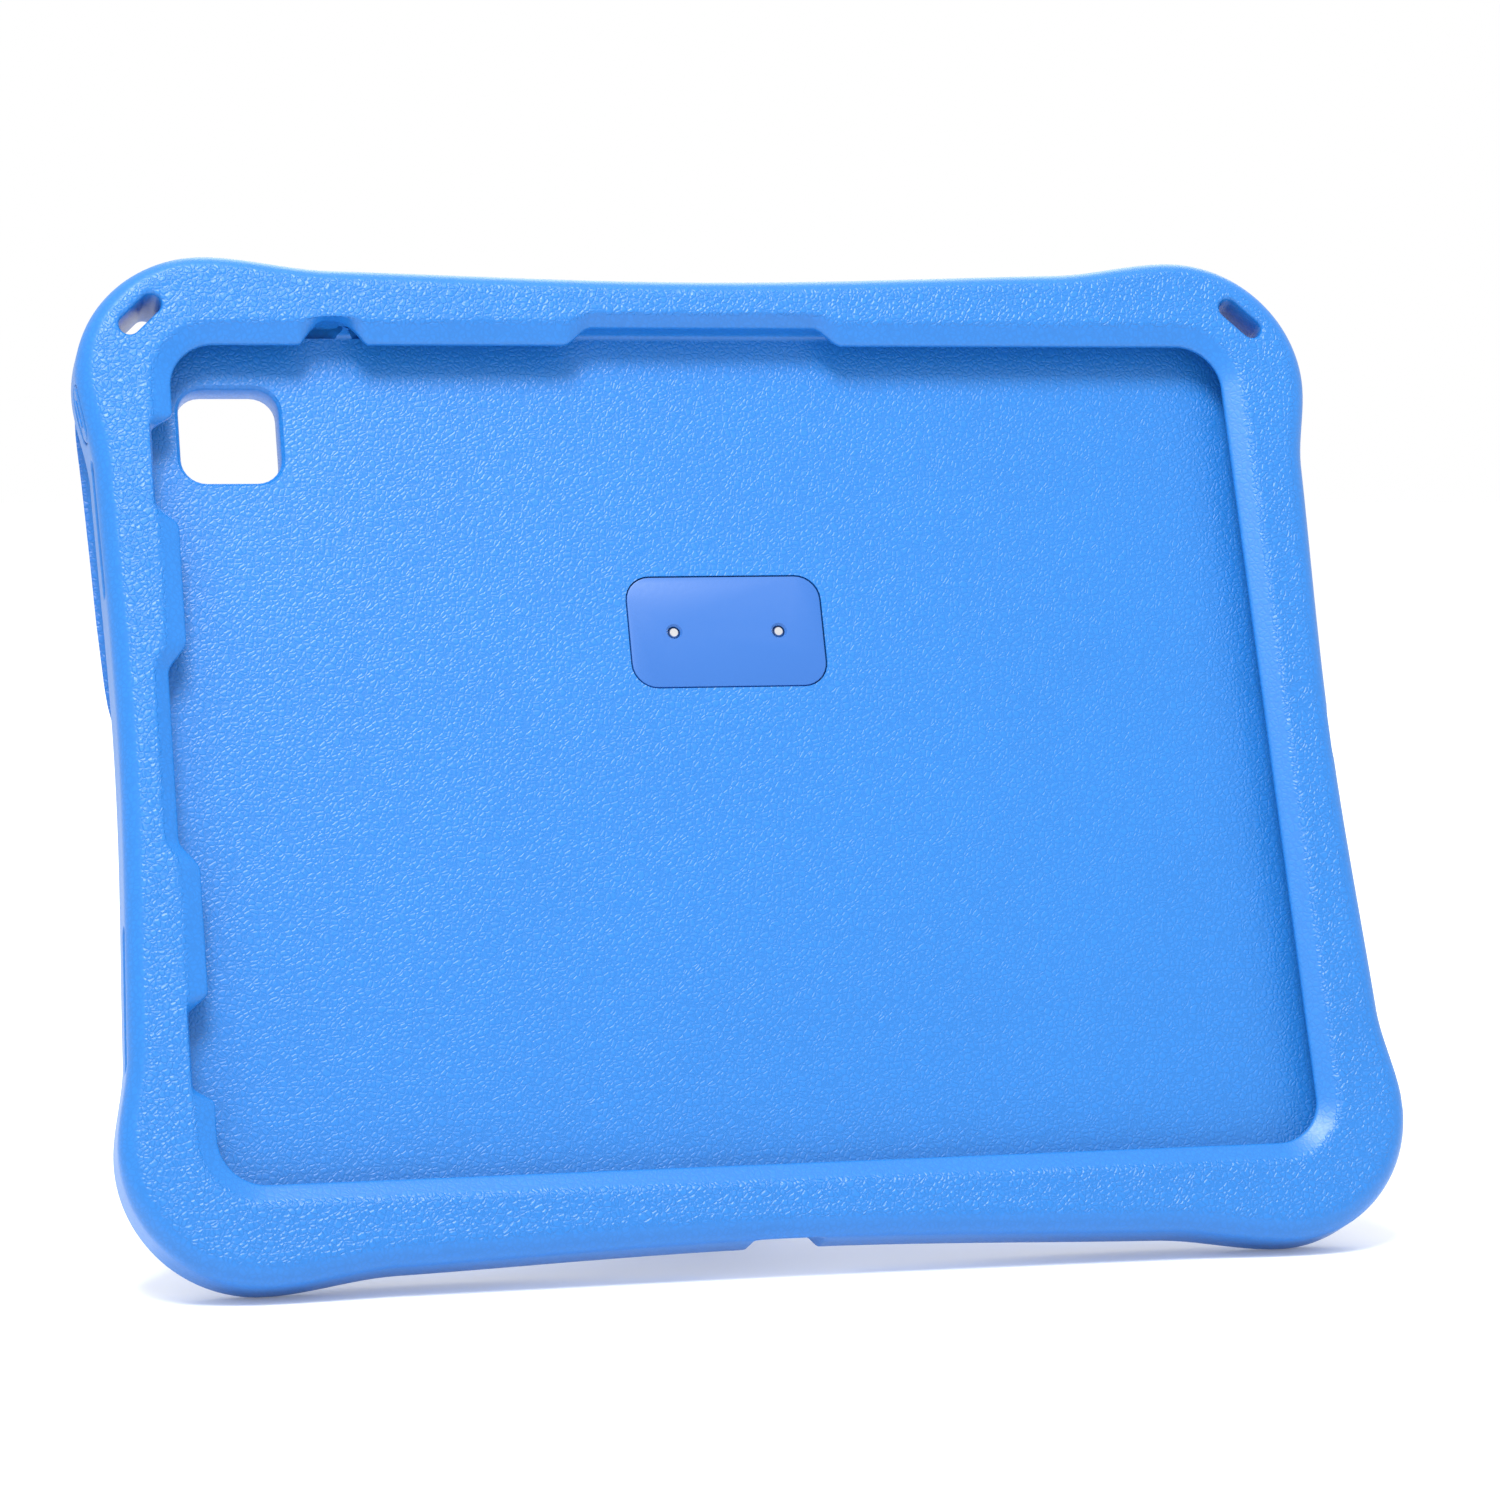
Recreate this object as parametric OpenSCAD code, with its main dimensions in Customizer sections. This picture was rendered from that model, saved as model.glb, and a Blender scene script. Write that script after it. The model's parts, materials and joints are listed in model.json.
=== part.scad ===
// Foam tablet case with a butterfly on its back, whose abdomen is the stand leg.
// The case is drawn upright in its own coordinates and then leaned back on the leg:
// X runs across, Z up along the case, and Y is the depth behind the rim's front face.

/* [Case body] */
// Width across the bulging corners
case_w = 307.5; // [302:0.5:316]
// Height across the bulging corners
case_h = 250.8; // [246:0.2:260]
// Depth from the rim's front face to the back face
case_t = 18; // [17:0.5:20]
// How far each corner lobe stands out from the edges beside it
lobe = 3; // [0:0.5:4]
// How far the top and bottom edges bow in between the lobes
bow_z = 2.8; // [0:0.2:4]
// How far the side edges bow in between the lobes
bow_x = 2.3; // [0:0.1:4]
// Outline radius of a corner
corner_r = 32; // [28:1:36]
// Radius of the outer edge's roll to the front
roll_r = 5.5; // [4:0.5:7]
// Radius of the outer edge's roll to the back
back_r = 4; // [3:0.5:5]

/* [Tablet pocket] */
// Pocket width, the tablet plus play
pocket_w = 281.6; // [276:0.1:284]
// Pocket height, the tablet plus play
pocket_h = 215.9; // [210:0.1:218]
// Pocket depth, the tablet plus play
pocket_t = 6.8; // [6:0.1:7.5]
// Radius of the pocket's corners
pocket_r = 18; // [12:1:20]
// Width of the opening inside the lip
mouth_w = 263; // [260:1:268]
// Height of the opening inside the lip
mouth_h = 204.4; // [200:0.2:206]
// Radius of the opening's corners
mouth_r = 11; // [8:0.5:14]
// Thickness of the lip at the opening
lip_t = 1.2; // [1:0.1:2]
// How far the bevel falls from the rim face to the lip
bevel_fall = 2.5; // [1.5:0.1:3]
// How wide the bevel is
bevel_w = 5.5; // [4:0.5:7]

/* [Openings in the walls] */
// Length of a strap slot
slot_l = 12.5; // [10:0.5:14]
// Width of a strap slot
slot_w = 5; // [4:0.5:6]
// Distance of a strap slot from the centre line
slot_x = 138; // [135:0.5:139]
// Height of a strap slot above mid-height
slot_z = 109; // [106:0.5:110]
// Side of the camera window
window = 24; // [20:1:28]
// Distance of the camera window from the centre line
window_x = 117; // [110:1:120]
// Height of the camera window above mid-height
window_z = 82; // [78:1:84]
// Height of the charging port
port_h = 16; // [12:1:20]
// Depth of the charging port
port_t = 8; // [6:0.5:8]
// Length of a speaker slot
speaker_l = 34; // [20:1:40]
// Width of a speaker slot
speaker_w = 3; // [2:0.5:4]
// Distance of a speaker slot from mid-height
speaker_z = 57; // [45:1:58]

/* [Butterfly] */
// Thickness of the raised wings
wing_t = 5; // [3:0.5:6]
// Thickness of the raised antennae
antenna_t = 3.5; // [2:0.5:5]
// Depth of the recess that the leg folds into
recess_t = 3.5; // [3:0.5:4]

/* [Stand] */
// Lean of the standing case from upright, in degrees
lean = 22.4; // [15:0.1:30]
// Height of the hinge axis above mid-height
hinge_z = 14; // [8:1:18]
// Length of the leg from the hinge axis to its tip
leg_l = 132; // [128:1:133]
// Width of the leg at its root
leg_w = 30; // [26:1:31]
// Thickness of the leg
leg_t = 9; // [8:0.5:10]
// Radius of the hinge pin
pin_r = 1.5; // [1.2:0.1:1.8]
// Radial play of the leg on the pin
pin_play = 0.05; // [0.02:0.01:0.1]

/* [Press pads] */
// Length of a pad
pad_l = 14.4; // [10:0.2:16]
// Width of a pad
pad_w = 5.4; // [4:0.2:5.6]
// How far a pad is proud of the wall
pad_proud = 0.3; // [0.2:0.1:0.8]
// Height of the power pad above mid-height
power_z = 86; // [80:1:90]
// Distance of the volume pads' middle from the centre line
volume_x = 88; // [84:1:98]
// Spacing of the two volume pads
volume_gap = 20; // [20:1:22]

/* [Hidden] */
$fn = 64;

foam_blue = "#4a98f8";
plastic_blue = "#2f7fe0";
rubber_blue = "#2a6cc4";
plate_grey = "#d8dce2";

// Steps round one corner, along one side, round the rolled edge and between outline points
corner_steps = 8;
side_steps = 24;
roll_steps = 5;
curve_steps = 4;
// Clearance between separate bodies, and how far a cutter runs past a face
gap = 0.3;
past = 1;

// Levels behind the rim's front face
lip_back = bevel_fall + lip_t;
floor_y = lip_back + pocket_t;
recess_y = case_t - recess_t;
mid_y = lip_back + pocket_t / 2;
// Reach of the bevel's cutter where it ends, past the rim's front face
bevel_out = bevel_w * (1 + past / bevel_fall);

// Centre of a corner's arc
corner_x = case_w / 2 - corner_r;
corner_z = case_h / 2 - corner_r;

// The hinge axis lies so that the folded leg just clears the recess
leg_gap = 0.5;
hinge_y = recess_y + leg_gap + leg_t / 2;
foot_r = leg_t / 2;
// Outer length of the foot, beyond the end of the leg's cover
foot_l = 14;
barrel_half = 8.6;
ear_in = 9.5;
ear_out = 15;
ear_r = hinge_y - recess_y;
heel_r = 6.5;
// Each ear's foot on the recess floor, clear of the folded leg's shoulder
ear_foot_h = 11;
ear_foot_z = hinge_z - ear_r + gap + ear_foot_h / 2;

// Rise and run that stand the case on the floor with its middle above the origin
rise = (case_h / 2 - back_r) * cos(lean) + (case_t - back_r) * sin(lean) + back_r;
run = -case_t / 2 * cos(lean);
// Height of the hinge above the floor, which fixes how far the leg opens
hinge_rise = rise + hinge_z * cos(lean) - hinge_y * sin(lean);
open_angle = lean + acos((hinge_rise - foot_r) / (leg_l - foot_r));

// A pad's inner flange, its travel, and the walls that the pads slide through
flange_t = 1.5;
flange_extra = 3.6;
pad_travel = 1;
pad_room = pad_travel + 0.3;
side_wall = (case_w - pocket_w) / 2 - pad_room;
top_wall = (case_h - pocket_h) / 2 - pad_room;

// Screws and eyes
eye_x = 13;
eye_z = 31;
eye_r = 10.5;
eye_y = recess_y + 7;
socket_r = 7.6;
socket_y = recess_y + 3.5;
screw_r = 1.5;
screw_hole_r = 1.55;
screw_head_r = 2.8;
screw_head_t = 1.8;
plate_t = 2;
boss_r = 3.5;

// One wing's outline, from the neck round the upper and lower lobes back to the neck
WING = [
    [18, 8], [21, 18], [30, 31], [51, 54], [77, 80], [101, 98], [118, 105.5], [130, 103.5],
    [139, 99.5], [148.3, 99], [150, 90], [149.2, 74], [148.2, 54], [147.2, 34], [145, 14],
    [137, -3], [133, -20], [137, -36], [143, -50], [145.5, -66], [143, -84], [133, -101], [114, -110],
    [88, -112], [63, -110], [43, -102], [28, -90], [19.5, -76], [20, -65], [34, -55],
    [38, -45], [38, -18], [32, -8], [20, 0]
];
// One antenna's outline, from its root beside the head out to the club and back
ANTENNA = [
    [6, 43], [9, 52], [17, 66], [29, 80], [43, 93], [54, 101], [63, 101], [67, 93], [62, 84],
    [50, 76], [38, 66], [29, 55], [23, 44.5], [14, 42]
];
// Half of the recess that the leg folds into, with its finger room
RECESS = [
    [0, 4], [16.5, 4], [16.5, -1], [29, -7], [36, -18], [36, -45], [31, -54], [17.5, -63],
    [17.5, -76], [17.5, -127], [0, -127]
];
// Half of the folded leg's outline below the ears, measured down from the hinge axis
leg_top = ear_r + 0.1;
cover_end = leg_l - foot_l;

function bell(t) = (1 + cos(180 * t)) / 2;
function ease(t) = t <= 0 ? 0 : t >= 1 ? 1 : t * t * (3 - 2 * t);

// How far an edge is drawn in at t, which runs from -1 at one corner to 1 at the other:
// a quick step beside each lobe, which takes a quarter of the half edge, and a long bow
function drawn_in(t, bow) = lobe * ease(4 * (1 - abs(t))) + bow * bell(t);

function corner_arc(x, z, r, from) = [
    for (k = [0:corner_steps]) let (a = from + 90 * k / corner_steps) [x + r * cos(a), z + r * sin(a)]
];

// The case's outline, inset by a distance: corner arcs joined by edges that are drawn in
function outline(inset) = let (
    r = corner_r - inset,
    w = case_w / 2 - inset,
    h = case_h / 2 - inset,
    steps = [for (k = [1:side_steps - 1]) 1 - 2 * k / side_steps]
) concat(
    corner_arc(corner_x, corner_z, r, 0),
    [for (t = steps) [corner_x * t, h - drawn_in(t, bow_z)]],
    corner_arc(-corner_x, corner_z, r, 90),
    [for (t = steps) [-w + drawn_in(t, bow_x), corner_z * t]],
    corner_arc(-corner_x, -corner_z, r, 180),
    [for (t = steps) [-corner_x * t, -h + drawn_in(t, bow_z)]],
    corner_arc(corner_x, -corner_z, r, 270),
    [for (t = steps) [w - drawn_in(t, bow_x), -corner_z * t]]
);

// One point of a Catmull-Rom curve between b and c
function curve_point(a, b, c, d, t) = 0.5 * (
    2 * b + (c - a) * t + (2 * a - 5 * b + 4 * c - d) * t * t
    + (3 * b - a - 3 * c + d) * t * t * t
);

function smooth_loop(p) = let (n = len(p)) [
    for (i = [0:n - 1], k = [0:curve_steps - 1])
        curve_point(p[(i + n - 1) % n], p[i], p[(i + 1) % n], p[(i + 2) % n], k / curve_steps)
];

// Leans the upright case back on its leg and puts the origin on the floor
module leaning() {
    translate([0, run, rise]) rotate([-lean, 0, 0]) children();
}

// Stands a flat outline up, from one depth towards the back
module upright(y, t) {
    translate([0, y + t, 0]) rotate([90, 0, 0]) linear_extrude(t) children();
}

module rounded_rect(w, h, r) {
    square([w - 2 * r, h], center = true);
    square([w, h - 2 * r], center = true);
    for (x = [-1, 1], z = [-1, 1])
        translate([x * (w / 2 - r), z * (h / 2 - r)]) circle(r);
}

module stadium(l, w) {
    square([l - w, w], center = true);
    for (s = [-1, 1]) translate([s * (l - w) / 2, 0]) circle(w / 2);
}

// A quarter-round roll as insets and depths, from the face out to the edge
function roll(r) = [for (k = [0:roll_steps]) let (a = 90 * k / roll_steps)
    [r * (1 - sin(a)), r * (1 - cos(a))]];

// The body before it is hollowed: the outline with a quarter-round roll to each face
module pillow() {
    back = roll(back_r);
    rows = concat(roll(roll_r), [for (k = [roll_steps:-1:0]) [back[k][0], case_t - back[k][1]]]);
    n = len(outline(0));
    last = (len(rows) - 1) * n;
    // The two last points are the middles of the faces, which the caps fan out from
    points = concat(
        [for (row = rows, p = outline(row[0])) [p[0], row[1], p[1]]],
        [[0, 0, 0], [0, case_t, 0]]
    );
    walls = [
        for (j = [0:len(rows) - 2], i = [0:n - 1])
            [j * n + i, (j + 1) * n + i, (j + 1) * n + (i + 1) % n, j * n + (i + 1) % n]
    ];
    front_cap = [for (i = [0:n - 1]) [last + n, i, (i + 1) % n]];
    back_cap = [for (i = [0:n - 1]) [last + n + 1, last + (i + 1) % n, last + i]];
    polyhedron(points, concat(walls, front_cap, back_cap));
}

// The mouth, the bevel round it and the places where the lip is cut back
module mouth() {
    upright(-past, floor_y) rounded_rect(mouth_w, mouth_h, mouth_r);
    hull() {
        upright(bevel_fall, 0.01) rounded_rect(mouth_w, mouth_h, mouth_r);
        upright(-past, 0.01)
            rounded_rect(mouth_w + 2 * bevel_out, mouth_h + 2 * bevel_out, mouth_r + bevel_out);
    }
    upright(-past, floor_y) lip_notches();
}

module lip_notches() {
    top = mouth_h / 2;
    side = mouth_w / 2;
    translate([-92, top]) circle(6.5);
    polygon([[-36, top - 2], [-36, top], [-29, top + 5], [28, top + 5], [34, top], [34, top - 2]]);
    for (n = [[84, 80, 63, 56], [27, 20, -21, -28], [-57, -62, -79, -83]])
        polygon([
            [2 - side, n[0]], [-side, n[0]], [-side - 4.6, n[1]],
            [-side - 4.6, n[2]], [-side, n[3]], [2 - side, n[3]]
        ]);
}

module wall_openings() {
    for (s = [-1, 1])
        translate([s * slot_x, 0, slot_z]) rotate([0, s * 45, 0])
            upright(-past, case_t + 2 * past) stadium(slot_l, slot_w);
    translate([-window_x, 0, window_z])
        upright(floor_y - past, case_t) rounded_rect(window, window, 6);
    reach = case_w / 2 - pocket_w / 2 + 2 * past;
    for (s = [-1, 1], z = [-1, 1])
        translate([s * (pocket_w / 2 - past + reach / 2), mid_y, z * speaker_z])
            rotate([0, 90, 0]) linear_extrude(reach, center = true) stadium(speaker_l, speaker_w);
    translate([pocket_w / 2 - past + reach / 2, mid_y, 0])
        rotate([0, 90, 0]) linear_extrude(reach, center = true) stadium(port_h, port_t);
}

// The place of each pad: on the outer wall, its local +Z pointing out of the case
module at_power() {
    translate([-case_w / 2, mid_y, power_z]) rotate([0, -90, 0]) children();
}
module at_volume(s) {
    translate([-volume_x + s * volume_gap / 2, mid_y, case_h / 2]) children();
}

// A pad's stem and its inner flange, grown by the play for the hole it slides in
module pad_form(play, wall, proud, room) {
    translate([0, 0, -wall]) linear_extrude(wall + proud)
        stadium(pad_l + 2 * play, pad_w + 2 * play);
    translate([0, 0, -wall - room]) linear_extrude(flange_t + room)
        stadium(pad_l + flange_extra + 2 * play, pocket_t - 0.8 + 2 * play);
}

module pad_holes() {
    at_power() pad_form(gap, side_wall, past, pad_room);
    for (s = [-1, 1]) at_volume(s) pad_form(gap, top_wall, past, pad_room);
}

module recess() {
    upright(recess_y, recess_t + past)
        polygon(concat(RECESS, [for (i = [len(RECESS) - 2:-1:1]) [-RECESS[i][0], RECESS[i][1]]]));
    upright(recess_y, recess_t + past)
        translate([0, 23]) square([2 * (eye_x + eye_r + gap), 42 + 2 * gap], center = true);
}

// Finger notch in the bottom edge, in line with the folded leg's tip
module tip_notch() {
    edge = -case_h / 2 + lobe + bow_z;
    upright(5, case_t)
        polygon([[-9, edge - past], [-6.5, edge + 2.3], [6.5, edge + 2.3], [8, edge - past]]);
}

module foam_shell() {
    color(foam_blue) leaning() difference() {
        pillow();
        upright(lip_back, pocket_t) rounded_rect(pocket_w, pocket_h, pocket_r);
        mouth();
        wall_openings();
        pad_holes();
        recess();
        tip_notch();
        clamp_form(gap, past);
    }
}

module wing(s) {
    color(foam_blue) leaning() difference() {
        upright(case_t, wing_t) polygon([for (p = smooth_loop(WING)) [s * p[0], p[1]]]);
        if (s < 0)
            translate([-window_x, 0, window_z])
                upright(case_t - past, wing_t + 2 * past) rounded_rect(window + 8, window + 8, 9);
    }
}
module left_wing() { wing(-1); }
module right_wing() { wing(1); }

module antenna(s) {
    color(foam_blue) leaning() upright(case_t, antenna_t)
        polygon([for (p = smooth_loop(ANTENNA)) [s * p[0], p[1]]]);
}
module left_antenna() { antenna(-1); }
module right_antenna() { antenna(1); }

// The plate in the pocket floor and its two bosses, grown by the play for its seat
module clamp_form(play, proud) {
    translate([0, 0, eye_z])
        upright(floor_y - proud, plate_t + proud)
            rounded_rect(48 + 2 * play, 28 + 2 * play, 6);
    for (s = [-1, 1]) translate([s * eye_x, floor_y, eye_z]) rotate([-90, 0, 0])
        cylinder(h = recess_y - floor_y, r = boss_r + play);
}

module screw_bores() {
    for (s = [-1, 1]) translate([s * eye_x, 0, eye_z]) rotate([-90, 0, 0])
        cylinder(h = case_t + 10, r = screw_hole_r);
}

module clamp_plate() {
    color(plate_grey) leaning() difference() {
        clamp_form(0, 0);
        screw_bores();
    }
}

module ear(s) {
    translate([s > 0 ? ear_in : -ear_out, hinge_y, hinge_z]) rotate([0, 90, 0]) {
        linear_extrude(ear_out - ear_in) union() {
            circle(ear_r);
            // Stop heel: the leg's shoulder comes to rest on it when the leg is open
            intersection() {
                circle(heel_r);
                rotate(open_angle) translate([-10 + ear_r, 0]) square([10, 10]);
            }
            translate([-ear_r, -hinge_y + recess_y]) square([2 * ear_r, hinge_y - recess_y]);
        }
    }
}

module hinge_bracket() {
    color(plastic_blue) leaning() difference() {
        union() {
            translate([0, 0, 32]) upright(recess_y, 3) rounded_rect(44, 24, 5);
            for (s = [-1, 1])
                translate([s * (ear_in + ear_out) / 2, 0, ear_foot_z])
                    upright(recess_y, 2) square([ear_out - ear_in, ear_foot_h], center = true);
            ear(-1);
            ear(1);
            for (s = [-1, 1]) translate([s * eye_x, recess_y, eye_z]) rotate([-90, 0, 0])
                cylinder(h = eye_y - recess_y, r = eye_r);
            translate([0, 0, 33]) upright(recess_y, 5.5) square([22, 13], center = true);
        }
        screw_bores();
        for (s = [-1, 1]) translate([s * eye_x, socket_y, eye_z]) rotate([-90, 0, 0])
            cylinder(h = 20, r = socket_r);
        translate([-30, hinge_y, hinge_z]) rotate([0, 90, 0]) cylinder(h = 60, r = pin_r + 0.01);
        // Room for the barrel as it turns
        translate([-ear_in, hinge_y, hinge_z]) rotate([0, 90, 0])
            cylinder(h = 2 * ear_in, r = leg_t / 2 + gap);
    }
}

module bracket_screws() {
    color("silver") leaning() for (s = [-1, 1])
        translate([s * eye_x, 0, eye_z]) rotate([-90, 0, 0]) {
            translate([0, 0, floor_y + 0.4]) cylinder(h = socket_y - floor_y - 0.4, r = screw_r);
            translate([0, 0, socket_y]) cylinder(h = screw_head_t, r = screw_head_r);
        }
}

// A domed cap over one screw, hollow behind
module eye_cap(s) {
    dome_r = 12;
    rim_r = socket_r - 0.1;
    cap_y = socket_y + 3.2;
    color("#e9f2ff") leaning() translate([s * eye_x, 0, eye_z]) rotate([-90, 0, 0])
        difference() {
            union() {
                translate([0, 0, socket_y + 0.05]) cylinder(h = cap_y - socket_y, r = rim_r);
                intersection() {
                    translate([0, 0, cap_y + 2.4 - dome_r]) sphere(dome_r);
                    translate([0, 0, cap_y - 0.5]) cylinder(h = 6, r = rim_r);
                }
            }
            translate([0, 0, socket_y - 1]) cylinder(h = 3.2, r = screw_head_r + 1);
        }
}
module left_eye_cap() { eye_cap(-1); }
module right_eye_cap() { eye_cap(1); }

module hinge_pin() {
    pin_l = 2 * ear_out - 0.6;
    color("silver") leaning() translate([-pin_l / 2, hinge_y, hinge_z]) rotate([0, 90, 0])
        cylinder(h = pin_l, r = pin_r);
}

module friction_washers() {
    color("#c9a24a") leaning() for (s = [-1, 1])
        translate([s * (ear_in + barrel_half) / 2, hinge_y, hinge_z]) rotate([0, 90, 0])
            difference() {
                cylinder(h = 0.5, r = 4, center = true);
                cylinder(h = 2, r = pin_r + pin_play, center = true);
            }
}

// The leg hangs down from the hinge axis at the origin, and is then swung open
module on_leg() {
    leaning() translate([0, hinge_y, hinge_z]) rotate([open_angle, 0, 0]) children();
}

LEG = [
    [leg_w / 2, -leg_top], [leg_w / 2, -48], [14.2, -72], [13.2, -98], [12.4, -114],
    [10.5, -123.5], [6.5, -130], [0, -leg_l]
];
module leg_outline() {
    polygon(concat(LEG, [for (i = [len(LEG) - 2:-1:0]) [-LEG[i][0], LEG[i][1]]]));
}

module spine_bar(play, end) {
    translate([-8 - play, -2 - play, -end]) cube([16 + 2 * play, 4 + 2 * play, end - 3.6]);
}

module leg_spine() {
    color(plastic_blue) on_leg() difference() {
        union() {
            translate([-barrel_half, 0, 0]) rotate([0, 90, 0])
                cylinder(h = 2 * barrel_half, r = leg_t / 2);
            spine_bar(0, cover_end + 7);
        }
        translate([-20, 0, 0]) rotate([0, 90, 0]) cylinder(h = 40, r = pin_r + pin_play);
    }
}

module leg_cover() {
    color(foam_blue) on_leg() difference() {
        intersection() {
            upright(-leg_t / 2, leg_t) leg_outline();
            translate([-30, -10, -cover_end]) cube([60, 20, cover_end]);
        }
        spine_bar(0, cover_end + 1);
        // Grooves between the abdomen's segments
        for (z = [24, 43, 62, 81, 100])
            translate([-20, leg_t / 2 - 0.8, -z - 0.7]) cube([40, 2, 1.4]);
    }
}

module leg_foot() {
    color(rubber_blue) on_leg() difference() {
        intersection() {
            upright(-leg_t / 2, leg_t) leg_outline();
            union() {
                translate([-30, -10, -leg_l + foot_r]) cube([60, 20, foot_l - foot_r]);
                translate([-30, 0, -leg_l + foot_r]) rotate([0, 90, 0])
                    cylinder(h = 60, r = foot_r);
            }
        }
        spine_bar(0, cover_end + 7);
    }
}

// Cuts a pad off along the case's own outline, a little proud of it
module level_with_wall() {
    intersection() {
        children();
        upright(0, case_t) polygon(outline(-pad_proud));
    }
}
module power_pad() {
    color(foam_blue) leaning() level_with_wall()
        at_power() pad_form(0, side_wall + 0.1, past, 0);
}
module volume_pad(s) {
    color(foam_blue) leaning() level_with_wall()
        at_volume(s) pad_form(0, top_wall + 0.1, past, 0);
}
module volume_up_pad() { volume_pad(-1); }
module volume_down_pad() { volume_pad(1); }

foam_shell();
left_wing();
right_wing();
left_antenna();
right_antenna();
hinge_bracket();
clamp_plate();
bracket_screws();
left_eye_cap();
right_eye_cap();
hinge_pin();
friction_washers();
leg_spine();
leg_cover();
leg_foot();
power_pad();
volume_up_pad();
volume_down_pad();
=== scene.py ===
"""A child's foam tablet case, standing on the leg of the butterfly on its back.

The sections follow the case as it is put together: the moulded shell, the wings and feelers
bonded to its back, the hinge bracket with its plate, screws, eyes and pin, the leg, and the
press pads. All shapes are worked out in millimetres on the flat-lying case, x across, y deep
behind the rim's face and z up along the case, and then leaned back as the case stands.
"""
import json
import math

import bmesh
import bpy
import numpy as np
from mathutils import Matrix


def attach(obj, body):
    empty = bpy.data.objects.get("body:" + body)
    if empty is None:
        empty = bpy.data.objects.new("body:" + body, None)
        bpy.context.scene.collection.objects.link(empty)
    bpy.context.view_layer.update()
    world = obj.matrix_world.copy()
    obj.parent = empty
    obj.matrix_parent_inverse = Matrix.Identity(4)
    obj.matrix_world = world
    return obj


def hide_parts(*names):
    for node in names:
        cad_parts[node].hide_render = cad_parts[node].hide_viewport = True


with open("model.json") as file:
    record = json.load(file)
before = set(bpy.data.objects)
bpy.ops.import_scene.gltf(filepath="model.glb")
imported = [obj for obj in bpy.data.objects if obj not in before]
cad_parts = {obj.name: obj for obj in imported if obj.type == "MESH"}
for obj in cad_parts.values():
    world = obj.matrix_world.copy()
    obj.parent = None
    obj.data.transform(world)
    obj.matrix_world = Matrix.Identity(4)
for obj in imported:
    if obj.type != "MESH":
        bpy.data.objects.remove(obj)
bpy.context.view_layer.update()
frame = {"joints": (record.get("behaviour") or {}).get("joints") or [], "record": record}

# ---------------------------------------------------------------------------
# The stance. The case leans back until the tip of its open leg meets the table.
# The tablet's seat gives the lean, and the leg's hinge gives the place of both.
# ---------------------------------------------------------------------------
seat = next(m for m in frame["record"]["mounts"] if m["name"] == "tablet_seat")
lean = math.atan2(seat["axis"][2], -seat["axis"][1])
leg_joint = next(j for j in frame["joints"] if j["name"] == "leg_fold")
leg_open = -math.radians(leg_joint["range_deg"][0])
hinge_row = np.array(leg_joint["pos_m"])
hinge_y, hinge_z = 19.5, 14.0


def turned(points, angle, origin):
    """Millimetres to metres: the points turn about X by the angle and move to the origin."""
    points = np.asarray(points, float) * 0.001
    y, z = points[..., 1], points[..., 2]
    turned_y = y * math.cos(angle) - z * math.sin(angle)
    turned_z = y * math.sin(angle) + z * math.cos(angle)
    return np.stack([points[..., 0], turned_y, turned_z], -1) + origin


def on_case(points):
    """Case points, measured from mid-height at the rim's face, leaned back as they stand."""
    return turned(np.asarray(points, float) - [0, hinge_y, hinge_z], -lean, hinge_row)


def on_leg(points):
    """Leg points, measured from the hinge axis with the leg hanging down, swung open."""
    return turned(points, leg_open - lean, hinge_row)


# ---------------------------------------------------------------------------
# Camera, studio and light. A long lens looks at the screen side from slightly left and above,
# over a level white floor, with nothing but white behind it.
# ---------------------------------------------------------------------------
def settings(owner, **values):
    """Sets several of one thing's attributes."""
    for name, value in values.items():
        setattr(owner, name, value)
    return owner


aim = on_case([1.1, 4.0, -1.3])
view_azimuth, view_elevation, view_distance = math.radians(-14.3), math.radians(4.3), 1.1187
away = np.array([
    math.sin(view_azimuth) * math.cos(view_elevation),
    -math.cos(view_azimuth) * math.cos(view_elevation),
    math.sin(view_elevation),
])
camera_data = settings(bpy.data.cameras.new("camera"), lens=112.97, sensor_width=36.0,
                       clip_start=0.05, clip_end=50.0)
camera = bpy.data.objects.new("camera", camera_data)
bpy.context.collection.objects.link(camera)
camera.matrix_world = (
    Matrix.Translation(aim + away * view_distance)
    @ Matrix.Rotation(view_azimuth, 4, "Z")
    @ Matrix.Rotation(math.pi / 2 - view_elevation, 4, "X")
)
bpy.context.scene.camera = camera


def mesh_object(name, verts, faces):
    """A smooth-shaded mesh object at the origin, with its place in its mesh."""
    mesh = bpy.data.meshes.new(name)
    mesh.from_pydata(np.asarray(verts).tolist(), [], faces)
    mesh.polygons.foreach_set("use_smooth", np.ones(len(mesh.polygons), bool))
    mesh.update()
    made = bpy.data.objects.new(name, mesh)
    bpy.context.collection.objects.link(made)
    return made


def strip_faces(rings, count):
    """Quads between neighbouring rings of count points, each ring closing on itself."""
    ring = np.arange(rings - 1)[:, None] * count
    here = np.arange(count)
    after = (here + 1) % count
    return np.stack([ring + here, ring + after, ring + count + after, ring + count + here],
                    -1).reshape(-1, 4)


floor_turns = np.linspace(0, 2 * np.pi, 128, endpoint=False)
floor_r = np.array([0.02, 1.0, 2.0, 4.0, 8.0])
floor_points = np.stack([
    floor_r[:, None] * np.cos(floor_turns), floor_r[:, None] * np.sin(floor_turns),
    np.zeros((len(floor_r), len(floor_turns))),
], -1).reshape(-1, 3)
floor_faces = strip_faces(len(floor_r), len(floor_turns)).tolist() + [list(range(127, -1, -1))]
floor = mesh_object("studio_floor", floor_points, floor_faces)

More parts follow.
